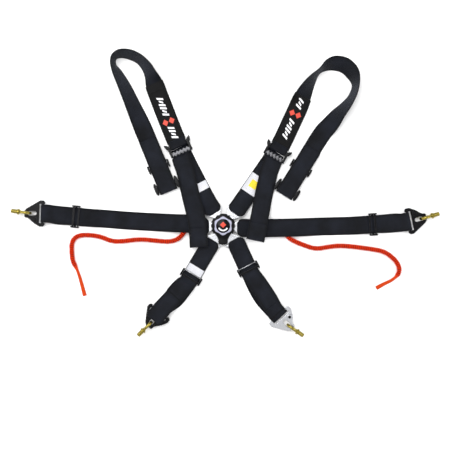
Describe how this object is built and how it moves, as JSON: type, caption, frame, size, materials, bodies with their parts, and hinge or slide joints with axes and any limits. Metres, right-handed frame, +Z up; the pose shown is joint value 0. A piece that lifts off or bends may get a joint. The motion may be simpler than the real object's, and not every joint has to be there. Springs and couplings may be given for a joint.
{
  "type": "racing harness",
  "caption": "Cam-lock racing harness laid out flat: rotary buckle, shoulder, lap and leg belts with adjusters, snap hooks on eyebolts and red release cords.",
  "frame": {"origin": "centre of the buckle's back pad, on the floor that the harness is laid on", "axes": "+Z up through the knob, +Y towards the shoulder belts, +X towards the wearer's left lap belt"},
  "size_m": [1.1747, 0.7821, 0.0499],
  "materials": {
    "webbing": "woven polyester webbing, soft sheen",
    "sleeve_cloth": "smooth tightly woven cloth",
    "pad_cloth": "quilted backing cloth",
    "red_cord": "gathered nylon tape cord",
    "black_moulding": "satin moulded plastic",
    "badge_gloss": "gloss dome",
    "insert_aluminium": "satin anodised",
    "yellow_zinc": "yellow zinc plating",
    "bright_steel": "polished plating",
    "black_steel": "black zinc plating, slight gloss",
    "plain_steel": "plain steel"
  },
  "bodies": {
    "buckle": {"buckle_back_pad": "pad_cloth", "buckle_back_plate": "plain_steel", "buckle_housing": "black_moulding", "housing_rivets": "plain_steel", "locking_pins": "plain_steel", "pin_springs": "plain_steel"},
    "knob": {"knob_grip": "black_moulding", "knob_insert": "insert_aluminium", "knob_badge": "badge_gloss", "knob_spindle": "plain_steel", "cam_plate": "plain_steel"},
    "right_lap_belt": {"right_lap_tongue": "bright_steel", "right_lap_strap": "webbing", "right_lap_slide": "black_steel", "right_lap_cord": "red_cord"},
    "right_lap_end": {"right_lap_end_strap": "webbing"},
    "right_lap_hook_body": {"right_lap_hook": "black_steel"},
    "right_lap_gate_body": {"right_lap_gate": "black_steel"},
    "right_lap_eyebolt_body": {"right_lap_eyebolt": "yellow_zinc"},
    "left_lap_belt": {"left_lap_tongue": "bright_steel", "left_lap_strap": "webbing", "left_lap_slide": "black_steel", "left_lap_cord": "red_cord"},
    "left_lap_end": {"left_lap_end_strap": "webbing"},
    "left_lap_hook_body": {"left_lap_hook": "black_steel"},
    "left_lap_gate_body": {"left_lap_gate": "black_steel"},
    "left_lap_eyebolt_body": {"left_lap_eyebolt": "yellow_zinc"},
    "right_leg_belt": {"right_leg_tongue": "bright_steel", "right_leg_strap": "webbing", "right_leg_slide": "black_steel"},
    "right_leg_end": {"right_leg_end_strap": "webbing"},
    "right_leg_hook_body": {"right_leg_hook": "black_steel"},
    "right_leg_gate_body": {"right_leg_gate": "black_steel"},
    "right_leg_eyebolt_body": {"right_leg_eyebolt": "yellow_zinc"},
    "left_leg_belt": {"left_leg_tongue": "bright_steel", "left_leg_strap": "webbing", "left_leg_slide": "black_steel"},
    "left_leg_end": {"left_leg_end_strap": "webbing"},
    "left_leg_hook_body": {"left_leg_hook": "bright_steel"},
    "left_leg_gate_body": {"left_leg_gate": "bright_steel"},
    "left_leg_eyebolt_body": {"left_leg_eyebolt": "yellow_zinc"},
    "right_shoulder_belt": {"right_shoulder_tongue": "bright_steel", "right_lower_strap": "webbing"},
    "right_shoulder_upper": {"right_shoulder_strap": "webbing", "right_label_sleeve": "sleeve_cloth", "right_tail": "webbing", "right_shoulder_slide": "black_steel"},
    "right_adjuster": {"right_adjuster_frame": "black_steel", "right_adjuster_bar": "black_steel"},
    "right_wrap_end": {"right_end_frame": "black_steel"},
    "left_shoulder_belt": {"left_shoulder_tongue": "bright_steel", "left_lower_strap": "webbing"},
    "left_shoulder_upper": {"left_shoulder_strap": "webbing", "left_label_sleeve": "sleeve_cloth", "left_tail": "webbing", "left_shoulder_slide": "black_steel"},
    "left_adjuster": {"left_adjuster_frame": "black_steel", "left_adjuster_bar": "black_steel"},
    "left_wrap_end": {"left_end_frame": "black_steel"}
  },
  "joints": [
    {"name": "knob_turn", "type": "hinge", "parent": "buckle", "child": "knob", "pos_m": [0, 0, 0.02], "axis": [0, 0, 1], "range_deg": [-60, 60], "stiffness_Nm_per_rad": 0.05, "deforming": ["locking_pins", "pin_springs"]},
    {"name": "right_lap_release", "type": "slide", "parent": "buckle", "child": "right_lap_belt", "axis": [-0.9994, -0.0349, 0], "range_m": [0, 0.025]},
    {"name": "right_lap_adjust", "type": "slide", "parent": "right_lap_belt", "child": "right_lap_end", "axis": [-0.9962, 0.0872, 0], "range_m": [-0.005, 0.015]},
    {"name": "right_lap_hook_swing", "type": "hinge", "parent": "right_lap_end", "child": "right_lap_hook_body", "pos_m": [-0.496, 0.034, 0.0111], "axis": [0.0349, 0.9994, 0], "range_deg": [0, 30]},
    {"name": "right_lap_gate_turn", "type": "hinge", "parent": "right_lap_hook_body", "child": "right_lap_gate_body", "pos_m": [-0.51762, 0.01674, 0.013], "axis": [0, 0, 1], "range_deg": [0, 35], "stiffness_Nm_per_rad": 0.02, "springref_deg": -11.46},
    {"name": "right_lap_eyebolt_swivel", "type": "hinge", "parent": "right_lap_hook_body", "child": "right_lap_eyebolt_body", "pos_m": [-0.52948, 0.03517, 0.011], "axis": [0, 0, 1], "range_deg": [-10, 10]},
    {"name": "left_lap_release", "type": "slide", "parent": "buckle", "child": "left_lap_belt", "axis": [0.9976, -0.0698, 0], "range_m": [0, 0.025]},
    {"name": "left_lap_adjust", "type": "slide", "parent": "left_lap_belt", "child": "left_lap_end", "axis": [0.9976, 0.0698, 0], "range_m": [-0.005, 0.015]},
    {"name": "left_lap_hook_swing", "type": "hinge", "parent": "left_lap_end", "child": "left_lap_hook_body", "pos_m": [0.51, 0.0126, 0.0111], "axis": [0.2079, -0.9781, 0], "range_deg": [0, 30]},
    {"name": "left_lap_gate_turn", "type": "hinge", "parent": "left_lap_hook_body", "child": "left_lap_gate_body", "pos_m": [0.5268, 0.03457, 0.013], "axis": [0, 0, 1], "range_deg": [0, 35], "stiffness_Nm_per_rad": 0.02, "springref_deg": -11.46},
    {"name": "left_lap_eyebolt_swivel", "type": "hinge", "parent": "left_lap_hook_body", "child": "left_lap_eyebolt_body", "pos_m": [0.54277, 0.01956, 0.011], "axis": [0, 0, 1], "range_deg": [-10, 10]},
    {"name": "right_leg_release", "type": "slide", "parent": "buckle", "child": "right_leg_belt", "axis": [-0.5299, -0.848, 0], "range_m": [0, 0.025]},
    {"name": "right_leg_adjust", "type": "slide", "parent": "right_leg_belt", "child": "right_leg_end", "axis": [-0.5299, -0.848, 0], "range_m": [-0.005, 0.015]},
    {"name": "right_leg_hook_swing", "type": "hinge", "parent": "right_leg_end", "child": "right_leg_hook_body", "pos_m": [-0.176, -0.238, 0.0111], "axis": [-0.7771, 0.6293, 0], "range_deg": [0, 30]},
    {"name": "right_leg_gate_turn", "type": "hinge", "parent": "right_leg_hook_body", "child": "right_leg_gate_body", "pos_m": [-0.17523, -0.26565, 0.013], "axis": [0, 0, 1], "range_deg": [0, 35], "stiffness_Nm_per_rad": 0.02, "springref_deg": -11.46},
    {"name": "right_leg_eyebolt_swivel", "type": "hinge", "parent": "right_leg_hook_body", "child": "right_leg_eyebolt_body", "pos_m": [-0.19708, -0.26403, 0.011], "axis": [0, 0, 1], "range_deg": [-10, 10]},
    {"name": "left_leg_release", "type": "slide", "parent": "buckle", "child": "left_leg_belt", "axis": [0.5299, -0.848, 0], "range_m": [0, 0.025]},
    {"name": "left_leg_adjust", "type": "slide", "parent": "left_leg_belt", "child": "left_leg_end", "axis": [0.454, -0.891, 0], "range_m": [-0.005, 0.015]},
    {"name": "left_leg_hook_swing", "type": "hinge", "parent": "left_leg_end", "child": "left_leg_hook_body", "pos_m": [0.155, -0.247, 0.0111], "axis": [-0.7314, -0.682, 0], "range_deg": [0, 30]},
    {"name": "left_leg_gate_turn", "type": "hinge", "parent": "left_leg_hook_body", "child": "left_leg_gate_body", "pos_m": [0.18249, -0.25008, 0.013], "axis": [0, 0, 1], "range_deg": [0, 35], "stiffness_Nm_per_rad": 0.02, "springref_deg": -11.46},
    {"name": "left_leg_eyebolt_swivel", "type": "hinge", "parent": "left_leg_hook_body", "child": "left_leg_eyebolt_body", "pos_m": [0.17785, -0.2715, 0.011], "axis": [0, 0, 1], "range_deg": [-10, 10]},
    {"name": "right_shoulder_release", "type": "slide", "parent": "buckle", "child": "right_shoulder_belt", "axis": [-0.5299, 0.848, 0], "range_m": [0, 0.025]},
    {"name": "right_shoulder_adjust", "type": "slide", "parent": "right_shoulder_belt", "child": "right_shoulder_upper", "axis": [-0.4462, 0.8949, 0], "range_m": [-0.008, 0.015]},
    {"name": "right_adjuster_tilt", "type": "hinge", "parent": "right_shoulder_upper", "child": "right_adjuster", "pos_m": [-0.1225, 0.221, 0.0072], "axis": [-0.9135, -0.4067, 0], "range_deg": [0, 15]},
    {"name": "right_wrap_end_tilt", "type": "hinge", "parent": "right_shoulder_upper", "child": "right_wrap_end", "pos_m": [-0.1505, 0.0985, 0.009], "axis": [0.9239, 0.3827, 0], "range_deg": [-10, 10]},
    {"name": "left_shoulder_release", "type": "slide", "parent": "buckle", "child": "left_shoulder_belt", "axis": [0.6157, 0.788, 0], "range_m": [0, 0.025]},
    {"name": "left_shoulder_adjust", "type": "slide", "parent": "left_shoulder_belt", "child": "left_shoulder_upper", "axis": [0.5807, 0.8141, 0], "range_m": [-0.008, 0.015]},
    {"name": "left_adjuster_tilt", "type": "hinge", "parent": "left_shoulder_upper", "child": "left_adjuster", "pos_m": [0.15, 0.2075, 0.0072], "axis": [-0.866, 0.5, 0], "range_deg": [0, 15]},
    {"name": "left_wrap_end_tilt", "type": "hinge", "parent": "left_shoulder_upper", "child": "left_wrap_end", "pos_m": [0.1695, 0.088, 0.009], "axis": [0.848, -0.5299, 0], "range_deg": [-10, 10]}
  ]
}
